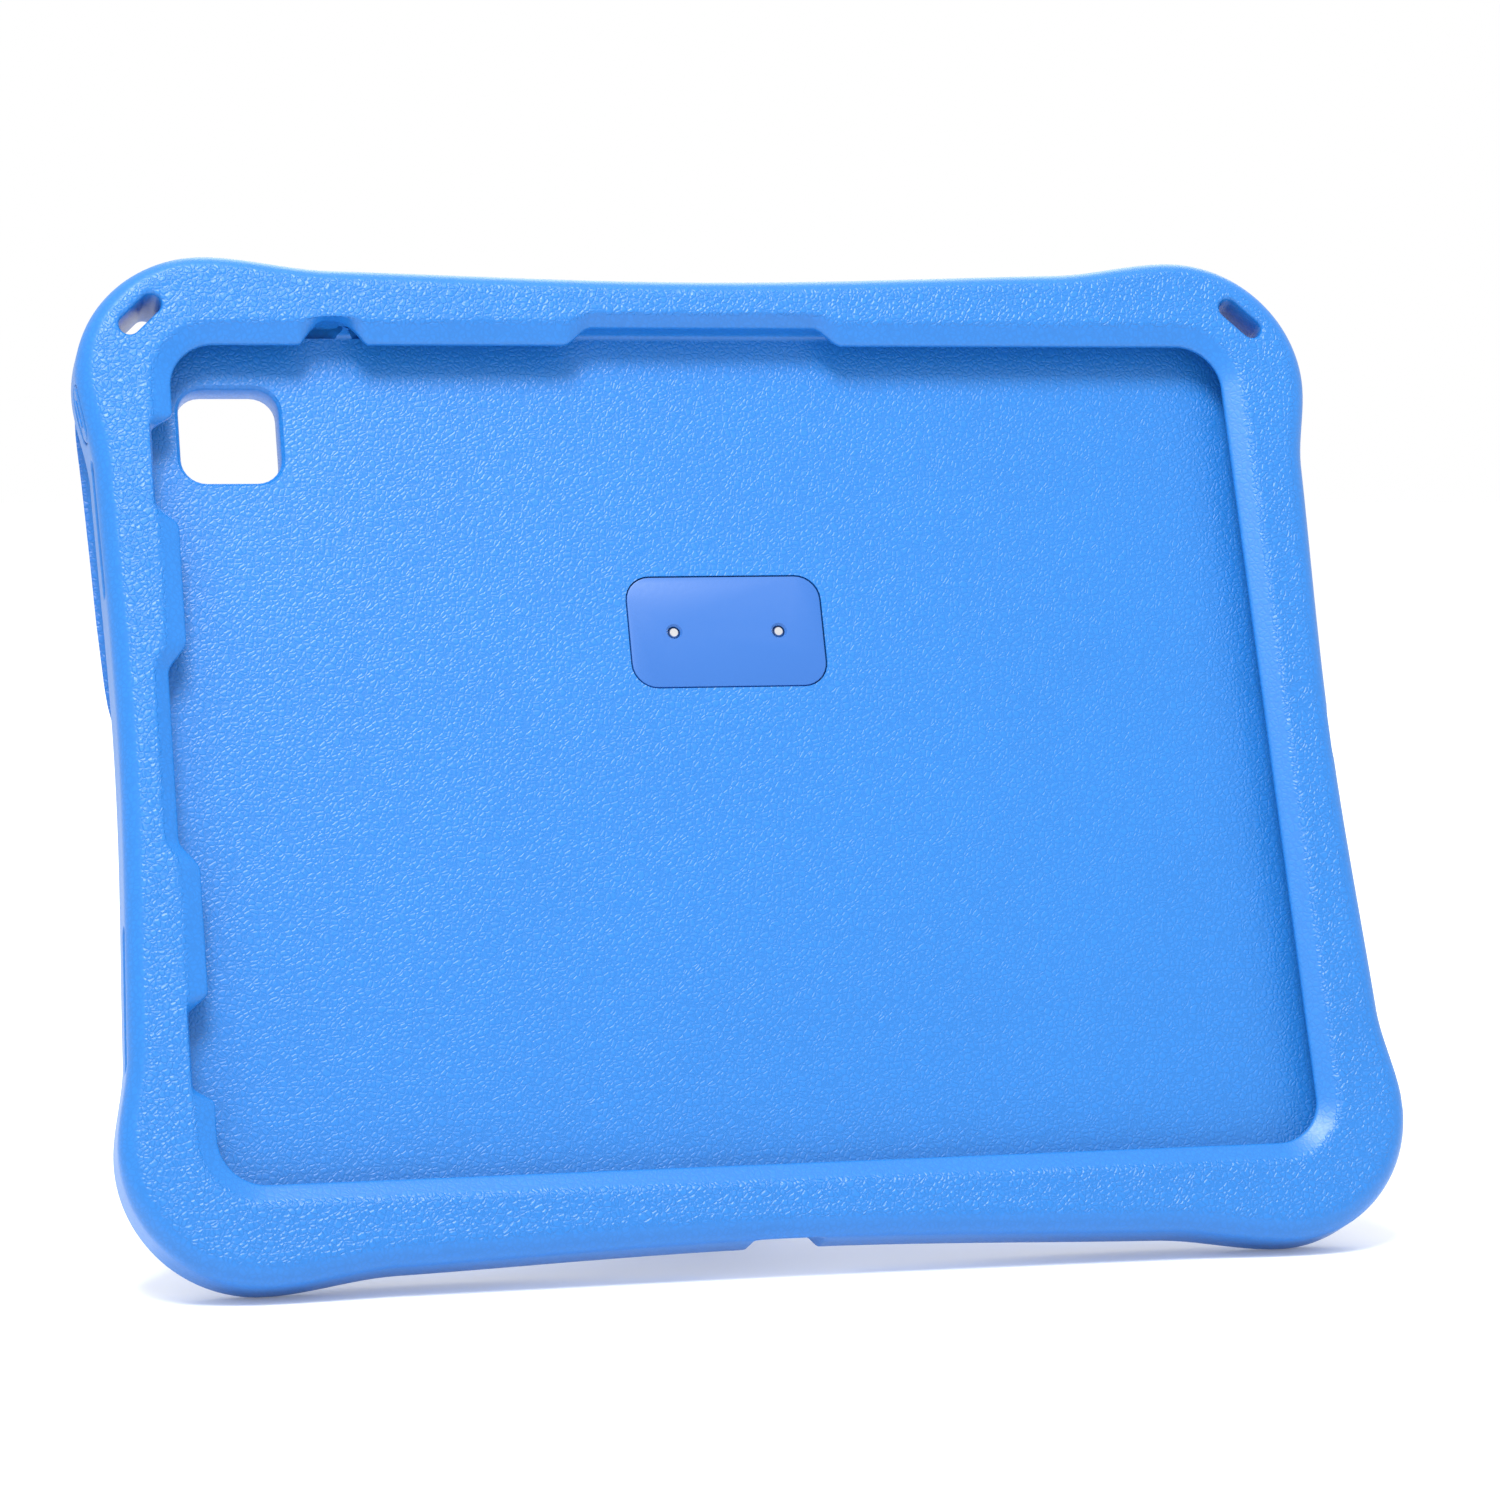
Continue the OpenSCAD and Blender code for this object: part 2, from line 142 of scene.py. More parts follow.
paper = bpy.data.materials.new("studio_paper")
paper.use_nodes = True
paper_shader = paper.node_tree.nodes["Principled BSDF"]
paper_shader.inputs["Base Color"].default_value = (0.9, 0.9, 0.9, 1)
paper_shader.inputs["Roughness"].default_value = 0.95
paper_shader.inputs["Emission Color"].default_value = (1, 1, 1, 1)
paper_shader.inputs["Emission Strength"].default_value = 0.12
floor.data.materials.append(paper)

world = bpy.data.worlds.new("studio")
world.use_nodes = True
world.node_tree.nodes["Background"].inputs["Color"].default_value = (1, 1, 1, 1)
world.node_tree.nodes["Background"].inputs["Strength"].default_value = 1.0
bpy.context.scene.world = world
bpy.context.scene.view_settings.view_transform = "Standard"


def softbox(name, place, size, power):
    """A square lamp at a place in metres that faces the middle of the case."""
    lamp = settings(bpy.data.lights.new(name, "AREA"), shape="RECTANGLE", size=size[0],
                    size_y=size[1], energy=power)
    holder = bpy.data.objects.new(name, lamp)
    bpy.context.collection.objects.link(holder)
    back = (np.array(place) - aim) / np.linalg.norm(np.array(place) - aim)
    side = np.cross([0, 0, 1], back)
    side /= np.linalg.norm(side)
    turn = np.stack([side, np.cross(back, side), back], 1)
    holder.matrix_world = Matrix.Translation(place) @ Matrix(turn.tolist()).to_4x4()


softbox("key_light", (-0.3, -0.62, 1.55), (0.6, 0.6), 27)
softbox("rear_light", (0.6, 1.7, 1.6), (1.4, 1.4), 14)

# ---------------------------------------------------------------------------
# The shell. One piece of moulded EVA foam: a pocket for the tablet, a bevelled lip that is cut
# back over the camera, keys and speakers, a wide grained rim, rolled edges and a plain back.
# ---------------------------------------------------------------------------
case_w, case_h, case_t = 307.5, 250.8, 18.0
corner_r, front_roll, back_roll = 32.0, 5.5, 4.0
lobe, bow_x, bow_z = 3.0, 2.3, 2.8
pocket = dict(w=281.6, h=215.9, r=18.0)
mouth = dict(w=263.0, h=204.4, r=11.0)
lip_back, floor_y = 3.7, 10.5
bevel_w = 5.5
corner_x, corner_z = case_w / 2 - corner_r, case_h / 2 - corner_r


def ease(x, start=0.0, end=1.0):
    """0 before start, 1 after end, and 3t^2 - 2t^3 between them."""
    t = np.clip((np.asarray(x, float) - start) / (end - start), 0, 1)
    return t * t * (3 - 2 * t)


def drawn_in(t, bow):
    """How far an edge is drawn in at t, from -1 at one corner to 1 at the other: a quick step
    beside each corner's lobe, and a long bow in the shape of half a cosine wave."""
    return lobe * ease(1 - np.abs(t), 0, 0.25) + bow * (1 + np.cos(np.pi * t)) / 2


def notch(x, start, flat_start, flat_end, end):
    """A notch's depth from 0 to 1: it eases in, runs level and eases out again."""
    return ease(x, start, flat_start) * (1 - ease(x, flat_end, end))


# Stations round the case, closer together along the lip's notches and the tip's notch
arc_steps = np.linspace(0, np.pi / 2, 30, endpoint=False)
top_steps = np.linspace(1, -1, 340, endpoint=False)[1:]
left_steps = np.linspace(1, -1, 256, endpoint=False)[1:]
bottom_steps = np.concatenate([
    np.linspace(1, 0.16, 50, endpoint=False), np.linspace(0.16, -0.16, 60, endpoint=False),
    np.linspace(-0.16, -1, 50, endpoint=False),
])[1:]
right_steps = np.linspace(1, -1, 90, endpoint=False)[1:]


def outline(w, h, r, waisted=0.0):
    """A rounded rectangle as x and z at every station, its edges drawn in if it is waisted."""
    a, b = w / 2 - r, h / 2 - r
    parts = []
    for turn, side in enumerate((top_steps, left_steps, bottom_steps, right_steps)):
        angle = arc_steps + turn * np.pi / 2
        sx, sz = ((1, 1), (-1, 1), (-1, -1), (1, -1))[turn]
        parts.append(np.stack([sx * a + r * np.cos(angle), sz * b + r * np.sin(angle)], -1))
        if turn % 2 == 0:
            x, z = side * a * sx, sz * (h / 2 - waisted * drawn_in(side, bow_z))
        else:
            x, z = sx * (w / 2 - waisted * drawn_in(side, bow_x)), side * b * sz
        parts.append(np.stack([x, z], -1))
    return np.concatenate(parts)


def grown(shape, grow):
    """The pocket's or the mouth's outline, grown by a distance."""
    return outline(shape["w"] + 2 * grow, shape["h"] + 2 * grow, shape["r"] + grow)


def case_outline(inset):
    """The case's own outline, inset by a distance."""
    return outline(case_w - 2 * inset, case_h - 2 * inset, corner_r - inset, 1.0)


# Which way is out at each station, and whereabouts along its own side the station lies
side_lengths = [len(s) for s in (top_steps, left_steps, bottom_steps, right_steps)]
station_side = np.concatenate([
    np.concatenate([np.full(len(arc_steps), -1), np.full(n, k)])
    for k, n in enumerate(side_lengths)
])
mouth_line = grown(mouth, 0)
outward = np.zeros_like(mouth_line)
outward[station_side == 0] = (0, 1)
outward[station_side == 1] = (-1, 0)
outward[station_side == 2] = (0, -1)
along_x, along_z = mouth_line[:, 0], mouth_line[:, 1]
on_top, on_left, on_bottom = station_side == 0, station_side == 1, station_side == 2

# How far each notch sets back the lip's edge and the bevel behind it
key_dome = (1 - np.clip(np.abs(along_x + 92) / 8.2, 0, 1) ** 2.6) ** 1.4
wide_notch = notch(along_x, -36, -28.5, 27, 34)
upper_notch = notch(along_z, 55.6, 62.5, 80, 84.5)
middle_notch = notch(along_z, -28.3, -20.5, 19.4, 27.8)
lower_notch = notch(along_z, -83, -79, -62.4, -56.8)
lip_cut = on_top * (4.5 * wide_notch + 6.1 * key_dome)
lip_cut += on_left * (5.2 * upper_notch + 4.6 * middle_notch + 4.8 * lower_notch)
bevel_cut = on_top * (2.2 * wide_notch + 0.8 * key_dome)
bevel_cut += on_left * (3.0 * middle_notch + 0.5 * upper_notch)
tip_cut = on_bottom * 2.4 * notch(along_x, -9.5, -6, 5.5, 8.5)


def shell_rows():
    """The section of the shell at every station, from the middle of the pocket floor out over
    the lip, the rim and the rolled edge to the middle of the back: rows of (x, y, z)."""
    rows = []

    def add(line, y):
        """Adds one row: a line of x and z at one depth, or at a depth of its own each."""
        depth = np.broadcast_to(np.asarray(y, float), line.shape[:1])
        rows.append(np.stack([line[:, 0], depth, line[:, 1]], -1))

    for share in (0.03, 0.2, 0.4, 0.6, 0.8, 0.93):
        add(grown(pocket, 0) * share, floor_y)
    for angle in np.linspace(0, np.pi / 2, 5):
        add(grown(pocket, -1.5 * (1 - math.sin(angle))),
            floor_y - 1.5 * (1 - math.cos(angle)))
    for angle in np.linspace(0, np.pi / 2, 4):
        add(grown(pocket, -0.6 * (1 - math.cos(angle))),
            lip_back + 0.6 * (1 - math.sin(angle)))
    # The lip's edge and the bevel, set back where it is notched
    lip_section = [
        (0.55, 3.7), (0.22, 3.64), (0.04, 3.45), (0.0, 3.15), (0.05, 2.82), (0.25, 2.56),
        (0.6, 2.34), (1.6, 1.85), (2.7, 1.31), (3.8, 0.77), (4.7, 0.33), (5.15, 0.13),
        (5.6, 0.03), (6.1, 0.0),
    ]
    for out, y in lip_section:
        share = min(out / bevel_w, 1)
        set_back = lip_cut * (1 - share) + bevel_cut * share
        add(grown(mouth, out) + outward * set_back[:, None], y)
    # The rim's flat face, on which the bevel's notch dies away
    bevel_line = grown(mouth, 6.1) + outward * bevel_cut[:, None]
    rim_line = case_outline(front_roll)
    for share in (0.12, 0.28, 0.46, 0.64, 0.82, 0.94):
        add(bevel_line * (1 - share) + rim_line * share, 0.0)
    # The rolled edge, with the finger notch for the folded leg's tip in its rear half
    turns = np.linspace(0, np.pi / 2, 13)
    front = [(front_roll * (1 - math.sin(a)), front_roll * (1 - math.cos(a))) for a in turns]
    side = [(0.0, y) for y in (7.0, 8.6, 10.2, 11.8, 13.0)]
    rear = [(back_roll * (1 - math.sin(a)), case_t - back_roll * (1 - math.cos(a)))
            for a in turns[::-1]]
    for inset, y in front + side + rear:
        drawn = tip_cut * ease(y, 4.4, 7.0)
        add(case_outline(inset) - outward * drawn[:, None], y)
    for share in (0.97, 0.9, 0.75, 0.5, 0.25, 0.04):
        add(case_outline(back_roll) * share, case_t)
    return np.array(rows)


def closed_skin(name, rows, place=on_case):
    """A closed skin: quads between the rings of points, and a fan to a pole at either end."""
    rings, count = rows.shape[:2]
    poles = np.stack([rows[0].mean(0), rows[-1].mean(0)])
    points = place(np.concatenate([rows.reshape(-1, 3), poles]))
    here = np.arange(count)
    after = (here + 1) % count
    last = (rings - 1) * count
    first_fan = np.stack([after, here, np.full(count, rings * count)], -1)
    last_fan = np.stack([last + here, last + after, np.full(count, rings * count + 1)], -1)
    faces = strip_faces(rings, count).tolist() + first_fan.tolist() + last_fan.tolist()
    made = mesh_object(name, points, faces)
    face_outwards(made)
    return made


def face_outwards(made):
    """Turns every face of a closed mesh outwards."""
    work = bmesh.new()
    work.from_mesh(made.data)
    bmesh.ops.recalc_face_normals(work, faces=work.faces)
    work.to_mesh(made.data)
    work.free()


def rounded_rect(w, h, r, steps=8):
    """A rounded rectangle round the origin, as points of (u, v)."""
    angle = np.concatenate([np.linspace(q, q + 1, steps) * np.pi / 2 for q in range(4)])
    quarter = np.repeat(np.arange(4), steps)
    su = np.array([1, -1, -1, 1])[quarter]
    sv = np.array([1, 1, -1, -1])[quarter]
    return np.stack([su * (w / 2 - r) + r * np.cos(angle), sv * (h / 2 - r) + r * np.sin(angle)],
                    -1)


def line_normals(line):
    """Outward unit normals of a closed outline that runs anticlockwise."""
    step = np.roll(line, -1, 0) - np.roll(line, 1, 0)
    normal = np.stack([step[:, 1], -step[:, 0]], -1)
    return normal / np.maximum(np.linalg.norm(normal, axis=1, keepdims=True), 1e-9)


def smooth_line(points, steps):
    """A closed curve through the points: the Catmull-Rom cubic on each stretch."""
    p1 = np.asarray(points, float)[:, None]
    p0, p2, p3 = np.roll(p1, 1, 0), np.roll(p1, -1, 0), np.roll(p1, -2, 0)
    t = np.linspace(0, 1, steps, endpoint=False)[None, :, None]
    curve = 0.5 * (2 * p1 + (p2 - p0) * t + (2 * p0 - 5 * p1 + 4 * p2 - p3) * t ** 2
                   + (3 * p1 - p0 - 3 * p2 + p3) * t ** 3)
    return curve.reshape(-1, 2)


def even_line(line, count):
    """The same closed outline with its points spaced evenly along it."""
    closed = np.concatenate([line, line[:1]])
    run = np.concatenate([[0], np.cumsum(np.linalg.norm(np.diff(closed, axis=0), axis=1))])
    at = np.linspace(0, run[-1], count, endpoint=False)
    return np.stack([np.interp(at, run, closed[:, 0]), np.interp(at, run, closed[:, 1])], -1)


def core(line, section, to_case):
    """The solid that shapes a hole: the outline grown by each offset at each depth."""
    normal = line_normals(line)
    rows = np.stack([to_case(*(line + normal * grow).T, depth) for grow, depth in section])
    return closed_skin("core", rows)


def flare(r, depth, steps=6):
    """Section of a hole's rounded mouth, from just outside the surface to the depth r."""
    turns = np.linspace(0.0, np.pi / 2, steps)
    curve = [(r * (1 - math.sin(a)), depth * (1 - math.cos(a))) for a in turns]
    return [(r + 0.4, -depth * 1.6), (r + 0.05, -0.02 * depth)] + curve[1:]


def through(r, thick):
    """Section of a hole with a rounded mouth at both faces of a wall."""
    near = flare(r, r)
    return near + [(grow, thick - y) for grow, y in near[::-1]]


def edge_inset(y):
    """How far the rolled edge lies inside the outline at a depth: a quarter circle to the
    front face and a smaller one to the back."""
    front = np.clip(1 - y / front_roll, 0, 1)
    back = np.clip(1 - (case_t - y) / back_roll, 0, 1)
    return (front_roll * (1 - np.sqrt(1 - front ** 2))
            + back_roll * (1 - np.sqrt(1 - back ** 2)))


def through_face(cx, cz, turn):
    """Places a core's outline on the rim at x and z, turned in the case's plane."""
    def place(u, v, depth):
        x = cx + u * math.cos(turn) - v * math.sin(turn)
        z = cz + u * math.sin(turn) + v * math.cos(turn)
        return np.stack([x, np.full_like(x, depth), z], -1)
    return place


def side_wall(z):
    """Distance from the middle of the case to its side edge at a height."""
    return case_w / 2 - drawn_in(np.clip(z / corner_z, -1, 1), bow_x)


def top_wall(x):
    """Height of the top edge at a distance across."""
    return case_h / 2 - drawn_in(np.clip(x / corner_x, -1, 1), bow_z)


def through_side(side, cz):
    """Places an outline in a side wall, its depth running inwards: near the outside it
    follows the wall's own curve, and further in it is flat."""
    def place(u, v, depth):
        y, z = mid_y + v, cz + u
        follow = 1 - float(ease(depth, 2.0, 6.0))
        x = side_wall(cz) + follow * (side_wall(z) - side_wall(cz) - edge_inset(y)) - depth
        return np.stack([side * x, y, z], -1)
    return place


def through_top(cx):
    """Places an outline in the top wall, its depth running down from outside."""
    def place(u, v, depth):
        x, y = cx + u, mid_y + v
        follow = 1 - float(ease(depth, 2.0, 6.0))
        z = top_wall(cx) + follow * (top_wall(x) - top_wall(cx) - edge_inset(y)) - depth
        return np.stack([x, y, z], -1)
    return place


def from_back(cx, cz):
    """Places a core's outline on the back, its depth running forwards from the back face."""
    def place(u, v, depth):
        return np.stack([cx + u, np.full_like(u, case_t - depth), cz + v], -1)
    return place


mid_y = (lip_back + floor_y) / 2
strap_x, strap_z = 138.0, 109.0
window_x, window_z, window = -117.0, 82.0, 24.0
eye_x, eye_z, eye_r = 13.0, 31.0, 10.5
power_z, volume_places = 86.0, (-98.0, -78.0)
pad_l, pad_w, pad_gap, pad_room, flange_out = 14.4, 5.4, 0.3, 1.3, 1.8
seat_half = eye_x + eye_r + pad_gap
recess_half = [
    (seat_half, 44.3), (seat_half, 1.7), (16.5, 1.7), (16.5, -1), (29, -7), (36, -18),
    (36, -45), (31, -54), (17.5, -63), (17.5, -128),
]


def round_corners(points, r, steps=5):
    """The polygon with each corner replaced by a quadratic curve that starts r before it."""
    here = np.asarray(points, float)
    before, after = np.roll(here, 1, 0) - here, np.roll(here, -1, 0) - here
    length_b = np.linalg.norm(before, axis=1, keepdims=True)
    length_a = np.linalg.norm(after, axis=1, keepdims=True)
    start = here + before / length_b * np.minimum(r, 0.45 * length_b)
    end = here + after / length_a * np.minimum(r, 0.45 * length_a)
    t = np.linspace(0, 1, steps)[None, :, None]
    curve = start[:, None] * (1 - t) ** 2 + here[:, None] * 2 * t * (1 - t) + end[:, None] * t * t
    return curve.reshape(-1, 2)


recess_line = round_corners(recess_half[::-1] + [(-x, z) for x, z in recess_half], 5.0)
window_section = [(2.0, -1.0), (1.0, 0.0), (0.3, 0.3), (0.0, 1.0), (0.0, 6.6), (0.3, 7.2),
                  (0.9, 7.49), (1.6, 8.6)]
recess_section = [(1.5, -2.0), (1.22, -0.03), (0.72, 0.2), (0.3, 0.6), (0.0, 1.3), (0.0, 2.3),
                  (-0.3, 2.95), (-0.8, 3.35), (-1.5, 3.5)]
plate_section = [(0.3, 5.5), (0.3, case_t - floor_y + 1)]
cores = [core(rounded_rect(12.5, 5.0, 2.49), through(1.1, case_t),
              through_face(s * strap_x, strap_z, -s * math.pi / 4)) for s in (-1, 1)]
cores += [
    core(rounded_rect(window, window, 6.0), window_section, from_back(window_x, window_z)),
    core(rounded_rect(48, 28, 6.0), plate_section, from_back(0, eye_z)),
    core(even_line(recess_line, 320), recess_section, from_back(0, 0)),
]
port_run = side_wall(0) - pocket["w"] / 2 + 1
cores += [core(rounded_rect(16.0, 8.0, 3.99), flare(1.0, 1.0) + [(0.0, port_run)],
               through_side(1, 0))]
cores += [core(rounded_rect(34.0, 3.0, 1.49), flare(0.8, 0.8) + [(0.0, port_run + 2)],
               through_side(s, z)) for s in (-1, 1) for z in (-57.0, 57.0)]


def pad_hole(inner):
    """Section of a press pad's hole: a slide for the stem and a wider room for its flange."""
    return flare(0.5, 0.5) + [(0.0, inner - 1.5), (flange_out, inner - 1.49),
                              (flange_out, inner + pad_room + 1)]


pad_hole_line = rounded_rect(pad_l + 2 * pad_gap, pad_w + 2 * pad_gap, pad_w / 2 + pad_gap - 0.01)
power_inner = side_wall(power_z) - pocket["w"] / 2 - pad_room
volume_inner = [top_wall(x) - pocket["h"] / 2 - pad_room for x in volume_places]
cores += [core(pad_hole_line, pad_hole(power_inner), through_side(-1, power_z))]
cores += [core(pad_hole_line, pad_hole(inner), through_top(x))
          for x, inner in zip(volume_places, volume_inner)]


def bore(made, cutters, overlapping=False):
    """Takes the cutters out of a closed mesh, whose parts may overlap, and removes them."""
    tool = bpy.data.objects.new("tool", join_meshes(cutters))
    bpy.context.collection.objects.link(tool)
    cut = settings(made.modifiers.new("cut", "BOOLEAN"), object=tool, operation="DIFFERENCE",
                   solver="EXACT", use_self=overlapping)
    depsgraph = bpy.context.evaluated_depsgraph_get()
    result = bpy.data.meshes.new_from_object(made.evaluated_get(depsgraph))
    made.modifiers.remove(cut)
    made.data = result
    bpy.data.objects.remove(tool)


def join_meshes(parts):
    """One mesh of all the parts' meshes; the parts are removed."""
    work = bmesh.new()
    for part in parts:
        work.from_mesh(part.data)
        bpy.data.objects.remove(part)
    joined = bpy.data.meshes.new("joined")
    work.to_mesh(joined)
    work.free()
    return joined


def shade(made, degrees=32):
    """Smooth shading, with a crease wherever two faces meet at more than the angle."""
    made.data.polygons.foreach_set("use_smooth", np.ones(len(made.data.polygons), bool))
    made.data.set_sharp_from_angle(angle=math.radians(degrees))


shell = closed_skin("foam_case", shell_rows())
bore(shell, cores)
shade(shell, 40)


def case_coords(made):
    """A mesh's vertices in case millimetres, the reverse of on_case."""
    points = np.empty(len(made.data.vertices) * 3)
    made.data.vertices.foreach_get("co", points)
    points = (points.reshape(-1, 3) - hinge_row) * 1000
    y, z = points[:, 1].copy(), points[:, 2].copy()
    points[:, 1] = y * math.cos(lean) - z * math.sin(lean) + hinge_y
    points[:, 2] = y * math.sin(lean) + z * math.cos(lean) + hinge_z
    return points


def paint(made, name, values):
    """Stores one number for each vertex as an attribute that a material can read."""
    layer = made.data.attributes.new(name, "FLOAT", "POINT")
    layer.data.foreach_set("value", np.asarray(values, np.float32))


# The rim's face, the back and the pocket floor are grained; the bevel and rolled edge are not
spot = case_coords(shell)
inside_mouth = (np.abs(spot[:, 0]) < 138.8) & (np.abs(spot[:, 2]) < 107.0)
front_face = (spot[:, 1] < 0.35) & (spot[:, 1] > -0.2)
back_face = spot[:, 1] > case_t - 0.6
pocket_floor = inside_mouth & (spot[:, 1] > floor_y - 0.3) & (spot[:, 1] < floor_y + 0.2)
paint(shell, "grain", np.where(front_face | back_face, 1.0, np.where(pocket_floor, 0.55, 0.12)))


def node(tree, kind, **values):
    """A shader node with its attributes set, and its sockets where the name is a socket's."""
    made = tree.nodes.new(kind)
    for name, value in values.items():
        if name in made.inputs:
            made.inputs[name].default_value = value
        else:
            setattr(made, name, value)
    return made


def foam(name, colour, grain=1.0, painted=False, rough=0.37):
    """Moulded EVA foam: a mottled dye, a creased leather grain with painted shade darkening its
    creases, and fine pores.
    The grain is two sizes of stretched cells; when painted is set, the mesh's grain attribute sets
    how deep it is."""
    made = bpy.data.materials.new(name)
    made.use_nodes = True
    tree = made.node_tree
    link = tree.links.new
    shader = tree.nodes["Principled BSDF"]
    shader.inputs["Specular IOR Level"].default_value = 0.5
    place = node(tree, "ShaderNodeTexCoord").outputs["Object"]
    warp = node(tree, "ShaderNodeTexNoise", Scale=260.0, Detail=2.0)
    link(place, warp.inputs["Vector"])
    bend = node(tree, "ShaderNodeVectorMath", operation="MULTIPLY_ADD")
    bend.inputs[1].default_value = (0.0022, 0.0022, 0.0022)
    link(warp.outputs["Color"], bend.inputs[0])
    link(place, bend.inputs[2])
    creases = node(tree, "ShaderNodeTexVoronoi", feature="DISTANCE_TO_EDGE", Scale=760.0)
    link(bend.outputs[0], creases.inputs["Vector"])
    soft = node(tree, "ShaderNodeMapRange", interpolation_type="SMOOTHSTEP")
    soft.inputs["From Max"].default_value = 0.28
    link(creases.outputs["Distance"], soft.inputs["Value"])
    pores = node(tree, "ShaderNodeTexNoise", Scale=1500.0, Detail=3.0)
    link(place, pores.inputs["Vector"])
    height = node(tree, "ShaderNodeMath", operation="MULTIPLY_ADD")
    height.inputs[1].default_value = 0.55
    link(pores.outputs["Fac"], height.inputs[0])
    link(soft.outputs["Result"], height.inputs[2])
    bump = node(tree, "ShaderNodeBump", Strength=0.7 * grain, Distance=0.00018)
    link(height.outputs[0], bump.inputs["Height"])
    if painted:
        mask = node(tree, "ShaderNodeAttribute", attribute_name="grain")
        depth = node(tree, "ShaderNodeMath", operation="MULTIPLY")
        depth.inputs[1].default_value = 0.7 * grain
        link(mask.outputs["Fac"], depth.inputs[0])
        link(depth.outputs[0], bump.inputs["Strength"])
    link(bump.outputs["Normal"], shader.inputs["Normal"])
    mottle = node(tree, "ShaderNodeTexNoise", Scale=24.0, Detail=4.0, Roughness=0.6)
    link(place, mottle.inputs["Vector"])
    dye = node(tree, "ShaderNodeMixRGB", blend_type="MIX")
    dye.inputs["Color1"].default_value = (*[c * 0.94 for c in colour], 1)
    dye.inputs["Color2"].default_value = (*[min(c * 1.05, 1) for c in colour], 1)
    link(mottle.outputs["Fac"], dye.inputs["Fac"])
    # Painted shade: the dye is darkened by a tenth along the grain's creases
    crease_shade = node(tree, "ShaderNodeMixRGB", blend_type="MULTIPLY", Fac=0.1)
    link(dye.outputs[0], crease_shade.inputs["Color1"])
    link(soft.outputs["Result"], crease_shade.inputs["Color2"])
    link(crease_shade.outputs[0], shader.inputs["Base Color"])
    polish = node(tree, "ShaderNodeMapRange")
    polish.inputs["To Min"].default_value = rough - 0.06
    polish.inputs["To Max"].default_value = rough + 0.08
    link(pores.outputs["Fac"], polish.inputs["Value"])
    link(polish.outputs["Result"], shader.inputs["Roughness"])
    return made


case_blue = (0.012, 0.172, 0.55)
shell.data.materials.clear()
shell.data.materials.append(foam("shell_foam", case_blue, grain=1.0, painted=True))
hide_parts("foam_shell")
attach(shell, "case")

# ---------------------------------------------------------------------------
# The two wings, bonded to the back. Each is a low block with an overhanging edge, a border
# band and pillow-like cells that fan out from the body; the left one leaves the camera free.
# ---------------------------------------------------------------------------
wing_points = [
    (18, 8), (21, 18), (30, 31), (51, 54), (77, 80), (101, 98), (118, 105.5), (130, 103.5),
    (139, 99.5), (148.3, 99), (150, 90), (149.2, 74), (148.2, 54), (147.2, 34), (145, 14),
    (137, -3), (133, -20), (137, -36), (143, -50), (145.5, -66), (143, -84), (133, -101), (114, -110),
    (88, -112), (63, -110), (43, -102), (28, -90), (19.5, -76), (20, -65), (34, -55),
    (38, -45), (38, -18), (32, -8), (20, 0),
]
wing_line = even_line(smooth_line(wing_points, 4), 740)
wing_centre = np.array([80.0, -30.0])
wing_top = case_t + 5.0
wing_flare, relief = 2.2, 1.5
# Each cell: where it starts beside the body, where it ends, and how wide it grows
wing_cells = [
    ((40, 36), (116, 89), 7.0), ((38, 26), (124, 68), 7.5), ((40, 16), (126, 46), 7.0),
    ((42, 6), (120, 24), 6.0), ((46, -4), (112, 4), 4.5), ((48, -14), (114, -22), 5.0),
    ((48, -24), (126, -46), 7.0), ((46, -36), (130, -70), 8.0), ((44, -48), (118, -92), 8.0),
    ((40, -58), (94, -97), 7.0), ((34, -66), (70, -98), 6.0), ((28, -74), (47, -91), 4.5),
]


def nearest(points, others):
    """Distance from each point to the nearest of the others."""
    best = np.full(points.shape[:-1], np.inf)
    for other in others:
        best = np.minimum(best, ((points - other) ** 2).sum(-1))
    return np.sqrt(best)


def cell_height(points, start, end, width):
    """Height from 0 to 1 of a drop-shaped pillow. Its half width grows from a quarter to the
    whole along its length, and its height eases up over the 2.6 mm inside its edge."""
    start, end = np.asarray(start, float), np.asarray(end, float)
    run = end - start
    length = np.linalg.norm(run)
    along = np.clip(((points - start) @ run) / length ** 2, 0, 1)
    half = width * (0.25 + 0.75 * ease(along, 0, 0.8))
    reach = np.linalg.norm(points - start - along[..., None] * run, axis=-1)
    return ease(half - reach, 0, 2.6)


def square_gap(points, centre, side, r):
    """Distance outside a rounded square."""
    over = np.abs(points - centre) - (side / 2 - r)
    return np.linalg.norm(np.maximum(over, 0), axis=-1) + np.minimum(over.max(-1), 0) - r


